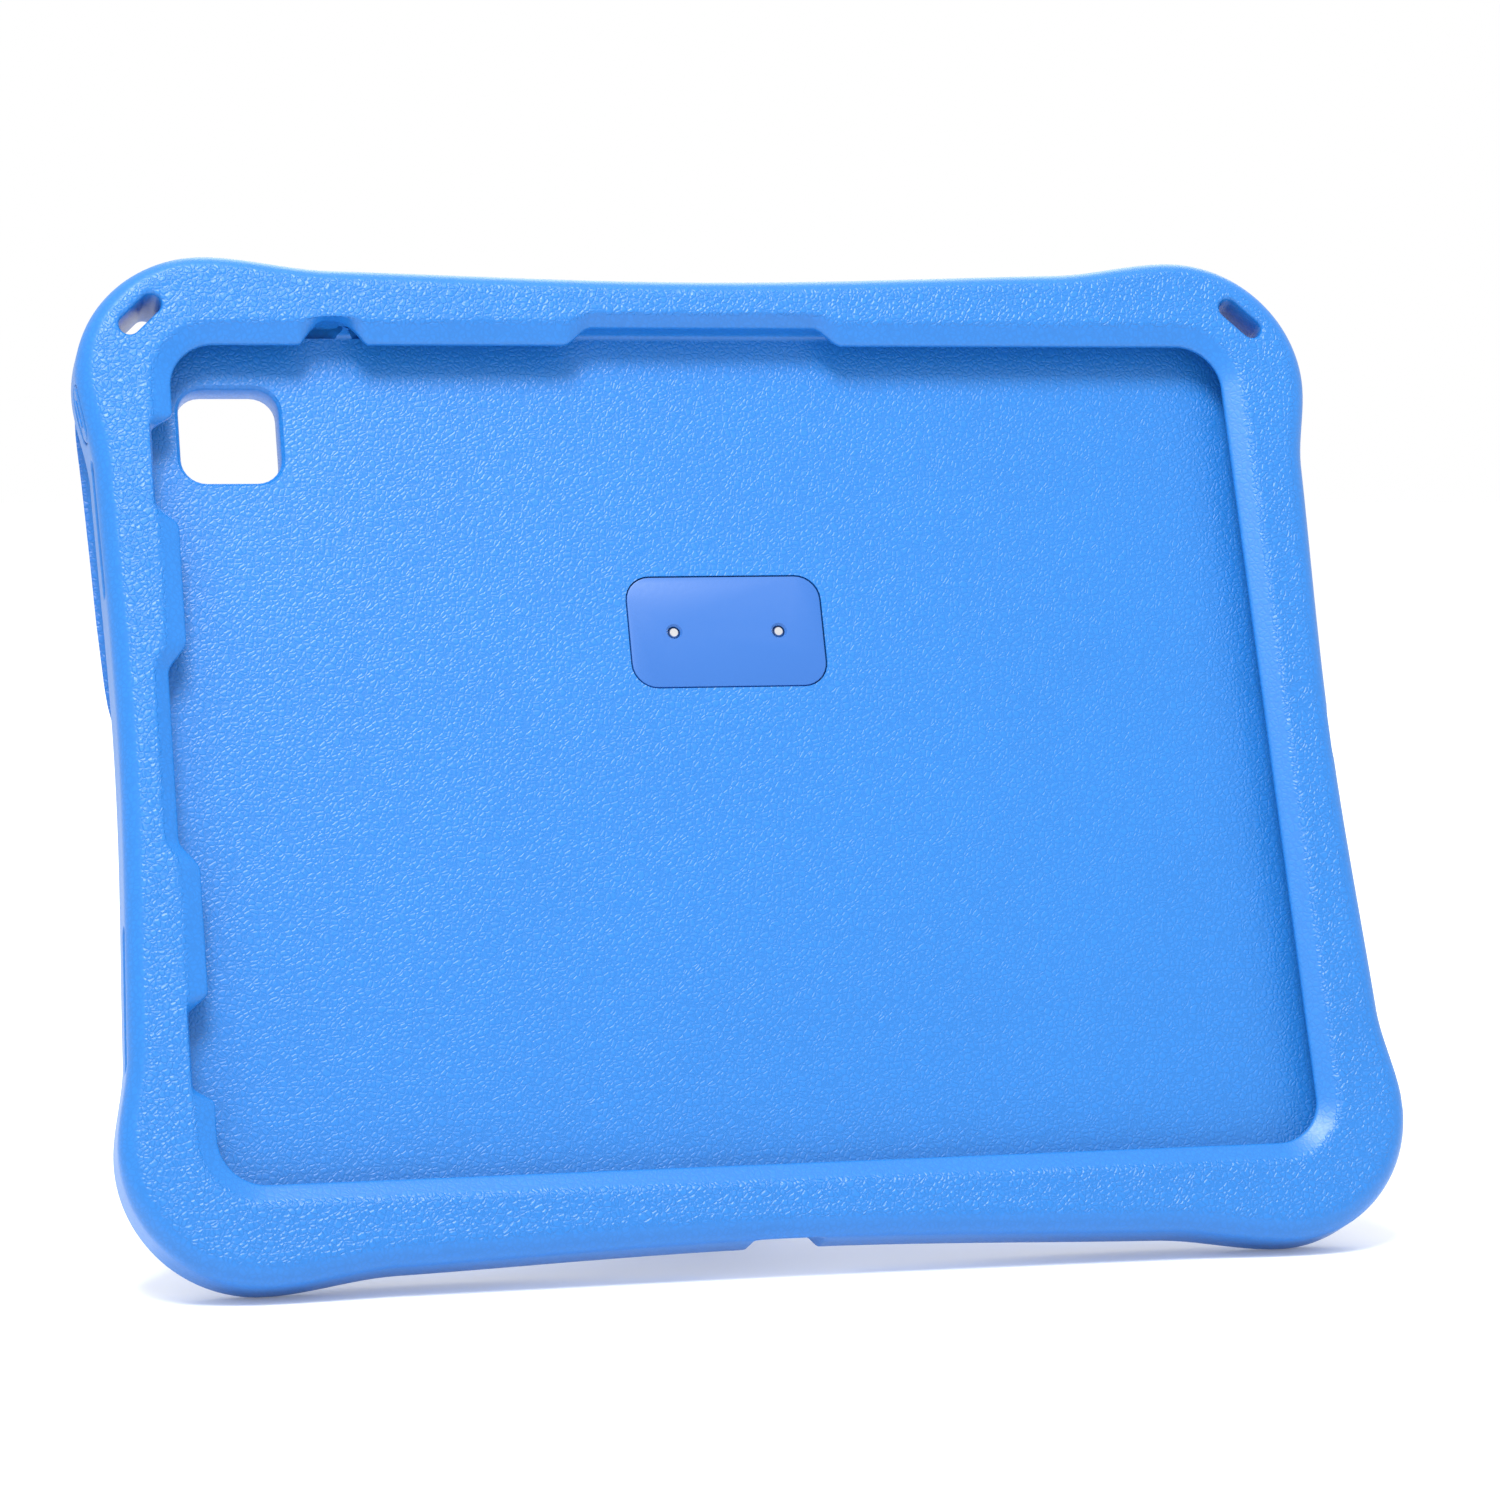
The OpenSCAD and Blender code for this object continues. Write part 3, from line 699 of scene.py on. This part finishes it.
def wing_rows(side):
    """The wing's section at every station: out over the flat underside, up the wall, out round
    the top edge, which overhangs the wall because the outline runs clockwise and its normals
    point inwards, and in over the relief: the border band stands highest, the field lies
    lowest and the cells rise out of it."""
    line, normal = wing_line, line_normals(wing_line)
    flat = [wing_centre + (line - wing_centre) * share for share in (0.05, 0.4, 0.7, 0.94)]
    turns = np.linspace(0, np.pi / 2, 7)
    wall = [(line, case_t + up) for up in (0.0, 0.9, 1.9, 2.8)]
    wall += [(line - normal * wing_flare * (1 - math.cos(a)),
              wing_top - wing_flare * (1 - math.sin(a))) for a in turns[1:]]
    inner = line - normal * wing_flare
    shares = np.linspace(0, 1, 92)[1:] ** 0.92 * 0.985
    top = wing_centre + (inner - wing_centre) * (1 - shares)[:, None, None]
    edge_gap = nearest(top, line[::2])
    cells = np.zeros(edge_gap.shape)
    for start, end, width in wing_cells:
        cells = np.maximum(cells, cell_height(top, start, end, width))
    cells *= ease(edge_gap, 7.0, 9.5)
    field = ease(edge_gap, 6.2, 7.8)
    if side < 0:
        opening = square_gap(top, np.array([-window_x, window_z]), window + 8, 9.0)
        field *= ease(opening, 3.2, 4.6)
        cells *= ease(opening, 4.6, 7.0)
    height = wing_top - relief * field * (1 - cells)
    rows = [np.stack([p[:, 0], np.full(len(p), case_t), p[:, 1]], -1) for p in flat]
    rows += [np.stack([p[:, 0], np.full(len(p), y), p[:, 1]], -1) for p, y in wall]
    rows += list(np.stack([top[..., 0], height, top[..., 1]], -1))
    rows = np.array(rows)
    rows[..., 0] *= side
    return rows


opening_section = [(2.2, -6.0), (1.6, -4.99), (0.8, -4.75), (0.25, -4.3), (0.0, -3.6),
                   (0.0, -1.5), (0.0, 1.0)]
for side, name in ((-1, "left_wing"), (1, "right_wing")):
    wing = closed_skin(name + "_foam", wing_rows(side))
    if side < 0:
        bore(wing, [core(rounded_rect(window + 8, window + 8, 9.0), opening_section,
                         from_back(window_x, window_z))])
    shade(wing, 55)
    wing.data.materials.clear()
    wing.data.materials.append(foam(name + "_skin", case_blue, grain=0.7))
    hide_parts(name)
    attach(wing, "case")

# ---------------------------------------------------------------------------
# The feelers, bonded above the wings, each with a piped edge and a rounded club.
# ---------------------------------------------------------------------------
feeler_points = [
    (6, 43), (9, 52), (17, 66), (29, 80), (43, 93), (54, 101), (63, 101), (67, 93), (62, 84),
    (50, 76), (38, 66), (29, 55), (23, 44.5), (14, 42),
]


def slab(name, line, section, to_case, place=on_case):
    """A block of any outline: the outline grown by each offset at each depth, closed by one
    flat face at either end."""
    normal = line_normals(line)
    rows = np.stack([to_case(*(line + normal * grow).T, depth) for grow, depth in section])
    rings, count = rows.shape[:2]
    faces = strip_faces(rings, count).tolist()
    faces += [list(range(count)), list(range((rings - 1) * count, rings * count))]
    made = mesh_object(name, place(rows.reshape(-1, 3)), faces)
    face_outwards(made)
    return made


def face_plane(cx, cz, side=1):
    """Places an outline facing the back at x and z, its depth behind the rim's face."""
    def place(u, v, depth):
        return np.stack([cx + side * u, np.full_like(u, depth), cz + v], -1)
    return place


feeler_spine = even_line(np.array([(13, 46.5), (22, 58), (35, 72), (48, 85), (60, 95),
                                   (48, 85), (35, 72), (22, 58)], float), 120)
feeler_line = even_line(smooth_line(feeler_points, 4)[::-1], 260)
# Share of the way in to the spine, and the height there
feeler_section = [(0.0, 18.0), (0.0, 19.9), (0.04, 20.5), (0.12, 21.0), (0.22, 21.2),
                  (0.32, 21.1), (0.37, 20.8), (0.42, 20.8), (0.48, 21.15), (0.6, 21.4),
                  (0.75, 21.49), (0.9, 21.5)]
gaps = np.linalg.norm(feeler_line[:, None] - feeler_spine[None], axis=-1)
feeler_middle = feeler_spine[gaps.argmin(1)]


def feeler_block(side):
    """One feeler, its rows drawn in from its outline towards its spine."""
    rows = np.stack([
        np.stack([side * (feeler_line * (1 - share) + feeler_middle * share)[:, 0],
                  np.full(len(feeler_line), y),
                  (feeler_line * (1 - share) + feeler_middle * share)[:, 1]], -1)
        for share, y in feeler_section
    ])
    rings, count = rows.shape[:2]
    faces = strip_faces(rings, count).tolist()
    faces += [list(range(count)), list(range((rings - 1) * count, rings * count))]
    made = mesh_object("feeler", on_case(rows.reshape(-1, 3)), faces)
    face_outwards(made)
    return made


for side, name in ((-1, "left_antenna"), (1, "right_antenna")):
    feeler = feeler_block(side)
    shade(feeler, 50)
    feeler.data.materials.clear()
    feeler.data.materials.append(foam(name + "_skin", case_blue, grain=0.7))
    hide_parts(name)
    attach(feeler, "case")

# ---------------------------------------------------------------------------
# The hinge bracket in the recess: a base with two eye rings, and two ears that carry the pin
# and stop the open leg with their heels. A plate in the pocket floor takes its screws.
# ---------------------------------------------------------------------------
ear_in, ear_out, ear_r, heel_r = 9.5, 15.0, 5.0, 6.5


def plastic(name, colour, rough=0.35, metallic=0.0):
    """Moulded plastic or plain metal with a fine satin texture in its finish."""
    made = bpy.data.materials.new(name)
    made.use_nodes = True
    tree = made.node_tree
    shader = tree.nodes["Principled BSDF"]
    shader.inputs["Base Color"].default_value = (*colour, 1)
    shader.inputs["Metallic"].default_value = metallic
    place = node(tree, "ShaderNodeTexCoord").outputs["Object"]
    satin = node(tree, "ShaderNodeTexNoise", Scale=900.0, Detail=3.0)
    tree.links.new(place, satin.inputs["Vector"])
    polish = node(tree, "ShaderNodeMapRange")
    polish.inputs["To Min"].default_value = rough - 0.06
    polish.inputs["To Max"].default_value = rough + 0.08
    tree.links.new(satin.outputs["Fac"], polish.inputs["Value"])
    tree.links.new(polish.outputs["Result"], shader.inputs["Roughness"])
    bump = node(tree, "ShaderNodeBump", Strength=0.12, Distance=0.00008)
    tree.links.new(satin.outputs["Fac"], bump.inputs["Height"])
    tree.links.new(bump.outputs["Normal"], shader.inputs["Normal"])
    return made


def circle(r, count=64):
    """A circle round the origin."""
    turn = np.linspace(0, 2 * np.pi, count, endpoint=False)
    return r * np.stack([np.cos(turn), np.sin(turn)], -1)


def lathe(profile, to_case, count=64, place=on_case):
    """A turned solid: a circle of each radius at each depth, closed to a pole at both ends."""
    rows = np.stack([to_case(*circle(r, count).T, depth) for r, depth in profile])
    return closed_skin("turned", rows, place)


def along_pin(u, v, depth):
    """Places a circle round the hinge axis, its depth running across the case."""
    return np.stack([np.full_like(u, depth), hinge_y + u, hinge_z + v], -1)


def finish(made, name, material, body, degrees=40):
    """Shades a piece, gives it its one material and puts it in its node's place."""
    made.name = name + "_piece"
    shade(made, degrees)
    made.data.materials.clear()
    made.data.materials.append(material)
    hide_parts(name)
    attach(made, body)


def as_object(mesh):
    """An object at the origin that holds the mesh."""
    made = bpy.data.objects.new(mesh.name, mesh)
    bpy.context.collection.objects.link(made)
    return made


def ear_outline():
    """One ear about the pin, as (towards the back, up): a circle, the block that stands on the
    recess floor, and the heel, which reaches out to heel_r between two flats. The radius at
    each angle is the largest of the three."""
    turn = np.linspace(0, 2 * np.pi, 160, endpoint=False)
    down, out = np.cos(turn), np.sin(turn)
    from_heel = turn - leg_open
    heel = np.minimum(heel_r, ear_r / np.maximum(np.abs(np.cos(from_heel)), 1e-6))
    heel = np.where(np.sin(from_heel) >= 0, heel, 0)
    block = np.minimum(ear_r / np.maximum(np.abs(down), 1e-6),
                       ear_r / np.maximum(np.abs(out), 1e-6))
    block = np.where(out <= 0, block, 0)
    radius = np.maximum(np.maximum(heel, block), ear_r)
    return np.stack([radius * out, -radius * down], -1)


plate_line = rounded_rect(44, 24, 5.0)
parts = [
    slab("base", plate_line, [(0, 14.5), (0, 16.9), (-0.2, 17.3), (-0.6, 17.5)],
         face_plane(0, 32)),
    slab("bar", rounded_rect(22, 13, 1.5), [(0, 14.6), (0, 19.2), (-0.25, 19.75), (-0.8, 20)],
         face_plane(0, 33)),
]
ring_profile = [(0.01, 14.5), (10.5, 14.5), (10.5, 20.4), (10.3, 21.0), (9.8, 21.4), (9.2, 21.5),
                (8.4, 21.4), (7.85, 21.1), (7.6, 20.6), (7.6, 18.0), (0.01, 18.0)]
parts += [lathe(ring_profile, face_plane(s * eye_x, eye_z)) for s in (-1, 1)]
ear_section = [(-0.5, ear_in), (-0.15, ear_in + 0.12), (0, ear_in + 0.5), (0, ear_out - 0.7),
               (-0.2, ear_out - 0.2), (-0.7, ear_out)]
for s in (-1, 1):
    parts += [
        slab("ear", ear_outline()[::-1], [(g, s * x) for g, x in ear_section], along_pin),
        slab("ear_foot", rounded_rect(5.5, 11, 0.8), [(0, 14.5), (0, 16.2), (-0.3, 16.5)],
             face_plane(s * (ear_in + ear_out) / 2, 14.8)),
    ]
bracket = as_object(join_meshes(parts))
bore(bracket, [lathe([(0.01, -20), (1.51, -20), (1.51, 20), (0.01, 20)], along_pin, 32)],
     True)
finish(bracket, "hinge_bracket", plastic("bracket_blue", (0.022, 0.125, 0.43), 0.38), "case")

cap_profile = [(0.01, 20.2), (3.8, 20.2), (3.8, 18.05), (7.5, 18.05), (7.5, 21.15)]
cap_profile += [(7.4 * math.cos(a), 21.2 + 2.35 * math.sin(a))
                for a in np.linspace(0.06, np.pi / 2 - 0.03, 14)]
for s, name in ((-1, "left_eye_cap"), (1, "right_eye_cap")):
    finish(lathe(cap_profile, face_plane(s * eye_x, eye_z)), name,
           plastic(name + "_gloss", (0.16, 0.42, 0.85), 0.2), "case")

clamp_parts = [slab("clamp", rounded_rect(48, 28, 6.0),
                    [(-0.4, 10.5), (-0.1, 10.6), (0, 10.9), (0, 12.3), (-0.2, 12.5)],
                    face_plane(0, eye_z))]
clamp_parts += [lathe([(0.01, 12.0), (3.5, 12.0), (3.5, 14.2), (3.2, 14.5), (0.01, 14.5)],
                      face_plane(s * eye_x, eye_z), 48) for s in (-1, 1)]
clamp = as_object(join_meshes(clamp_parts))
bore(clamp, [lathe([(0.01, 8), (2.1, 8), (2.1, 10.4), (1.55, 11.0), (1.55, 18), (0.01, 18)],
                   face_plane(s * eye_x, eye_z), 32) for s in (-1, 1)], True)
finish(clamp, "clamp_plate", plastic("clamp_blue", (0.022, 0.125, 0.43), 0.42), "case")

screw_profile = [(0.01, 10.9), (1.0, 10.9), (1.5, 11.5), (1.5, 18.0), (2.8, 18.0), (2.8, 18.9),
                 (2.5, 19.5), (1.9, 19.8), (0.01, 19.8)]
screws = as_object(join_meshes([lathe(screw_profile, face_plane(s * eye_x, eye_z), 40)
                                for s in (-1, 1)]))
bore(screws, [lathe([(0.01, 18.6), (1.3, 18.6), (1.3, 21), (0.01, 21)],
                    face_plane(s * eye_x, eye_z), 6) for s in (-1, 1)])
finish(screws, "bracket_screws", plastic("screw_steel", (0.62, 0.62, 0.64), 0.3, 1.0), "case")
pin_profile = [(0.01, -14.7), (1.2, -14.7), (1.5, -14.4), (1.5, 14.4), (1.2, 14.7), (0.01, 14.7)]
finish(lathe(pin_profile, along_pin, 48), "hinge_pin",
       plastic("pin_steel", (0.66, 0.66, 0.68), 0.22, 1.0), "case")
washer_profile = [(0.01, -0.25), (3.9, -0.25), (4.0, -0.15), (4.0, 0.15), (3.9, 0.25), (0.01, 0.25)]
washer_parts = [lathe([(r, s * 9.05 + x) for r, x in washer_profile], along_pin, 48)
                for s in (-1, 1)]
washers = as_object(join_meshes(washer_parts))
bore(washers, [lathe([(0.01, -20), (1.55, -20), (1.55, 20), (0.01, 20)], along_pin, 32)])
finish(washers, "friction_washers", plastic("washer_brass", (0.72, 0.5, 0.2), 0.35, 1.0), "case")

# ---------------------------------------------------------------------------
# The leg: a stiff spine with the barrel that turns on the pin, the foam abdomen over it, and
# a ribbed rubber foot. It is drawn hanging down from the hinge axis.
# ---------------------------------------------------------------------------
leg_t, leg_top, cover_end = 9.0, 5.1, 118.0
leg_depths = [5.1, 48, 72, 98, 114, 123.5, 130, 132]
leg_widths = [15, 15, 14.2, 13.2, 12.4, 10.5, 6.5, 0]


def leg_rows(depths, half_t, groove):
    """The leg's section at each distance below the axis: a rounded rectangle whose back
    corners are rounder than its front ones, drawn in by a groove's depth at its back."""
    turn = np.linspace(0, 2 * np.pi, 96, endpoint=False)
    c, s = np.cos(turn), np.sin(turn)
    rows = []
    for depth, half, cut in zip(depths, half_t, groove):
        w = max(float(np.interp(depth, leg_depths, leg_widths)) - 0.45 * cut, 0.05)
        r_back, r_front = min(3.9, w, half), min(1.6, w, half)
        r = np.where(s > 0, r_back, r_front)
        x = np.sign(c) * (w - r) + r * c
        y = np.sign(s) * (half - r) + r * s
        y = np.where(s > 0, y * (1 - cut / leg_t * 2), y)
        rows.append(np.stack([x, y, np.full_like(x, -depth)], -1))
    return np.array(rows)


def bar_core(length):
    """The spine bar's own room in the cover and the foot."""
    return slab("bar", rounded_rect(16.0, 4.0, 0.4), [(0, -1.0), (0, length)], bar_place, on_leg)


def bar_place(u, v, depth):
    """Places an outline across the leg at a distance below the axis."""
    return np.stack([u, v, np.full_like(u, -depth)], -1)


cover_depths = np.concatenate([[leg_top, leg_top + 0.15, leg_top + 0.6],
                               np.arange(leg_top + 1.2, cover_end - 1.0, 0.6),
                               [cover_end - 0.6, cover_end - 0.15, cover_end]])
segment = np.array([24.0, 43.0, 62.0, 81.0, 100.0])
to_groove = np.abs(cover_depths[:, None] - segment).min(1)
segment_cut = 1.1 * np.exp(-(to_groove / 1.1) ** 2) + 0.25 * (1 - ease(to_groove, 0, 7))
end_cut = 0.5 * np.exp(-np.minimum(cover_depths - leg_top, cover_end - cover_depths) / 0.4)
cover = closed_skin("cover", leg_rows(cover_depths, np.full(len(cover_depths), leg_t / 2),
                                      segment_cut + end_cut), on_leg)
bore(cover, [bar_core(cover_end + 3)])
finish(cover, "leg_cover", foam("abdomen_skin", case_blue, grain=0.7), "leg", 50)

foot_depths = np.concatenate([np.arange(cover_end, 127.5, 0.3), 127.5
                              + 4.5 * np.sin(np.linspace(0, np.pi / 2 - 0.02, 26))])
foot_half = np.sqrt(np.maximum(4.5 ** 2 - np.maximum(foot_depths - 127.5, 0) ** 2, 0.01))
ribs = 0.35 * np.exp(-((foot_depths - 118.9) % 2.1 - 1.05) ** 2 / 0.09)
ribs *= (foot_depths > 119) & (foot_depths < 127)
foot = closed_skin("foot", leg_rows(foot_depths, foot_half, ribs), on_leg)
bore(foot, [bar_core(cover_end + 7)])
finish(foot, "leg_foot", plastic("foot_rubber", (0.015, 0.07, 0.24), 0.62), "leg",
       50)

spine_parts = [
    slab("spine", rounded_rect(15.96, 3.96, 0.4), [(0, 3.6), (0, cover_end + 6.9)], bar_place,
         on_leg),
    closed_skin("barrel", np.stack([np.stack([np.full(64, x), *circle(r, 64).T], -1)
                                    for r, x in ((0.01, -8.6), (4.2, -8.6), (4.5, -8.3),
                                                 (4.5, 8.3), (4.2, 8.6), (0.01, 8.6))]), on_leg),
]
spine = as_object(join_meshes(spine_parts))
bore(spine, [closed_skin("pin_room", np.stack([np.stack([np.full(32, x), *circle(r, 32).T], -1)
                                               for r, x in ((0.01, -12), (1.55, -12),
                                                            (1.55, 12), (0.01, 12))]), on_leg)], True)
finish(spine, "leg_spine", plastic("spine_blue", (0.022, 0.12, 0.40), 0.4), "leg")

# ---------------------------------------------------------------------------
# The press pads, slid into the walls from inside before the tablet goes in. Each follows its
# wall, has a flange behind it and carries a plain raised mark.
# ---------------------------------------------------------------------------
pad_line = rounded_rect(pad_l, pad_w, pad_w / 2 - 0.01)
flange_line = rounded_rect(18.0, 6.0, 2.99)
pad_places = {
    "power_pad": (through_side(-1, power_z), power_inner, [(7.0, 1.2)]),
    "volume_up_pad": (through_top(volume_places[0]), volume_inner[0], [(3.2, 1.1), (1.1, 3.2)]),
    "volume_down_pad": (through_top(volume_places[1]), volume_inner[1], [(3.2, 1.1)]),
}
for name, (to_wall, inner, marks) in pad_places.items():
    stem_section = [(-1.0, -0.04), (-0.45, 0.06), (-0.12, 0.3), (0.0, 0.75), (0.0, inner - 0.8)]
    parts = [
        core(pad_line, stem_section, to_wall),
        core(flange_line, [(-0.2, inner - 1.4), (0, inner - 1.2), (0, inner - 0.1),
                           (-0.2, inner + 0.1)], to_wall),
    ]
    parts += [core(rounded_rect(length, width, min(length, width) / 2 - 0.05),
                   [(-0.15, -0.26), (0.0, -0.1), (0.1, 0.6)], to_wall) for length, width in marks]
    finish(as_object(join_meshes(parts)), name, foam(name + "_skin", case_blue, grain=0.5), name,
           45)
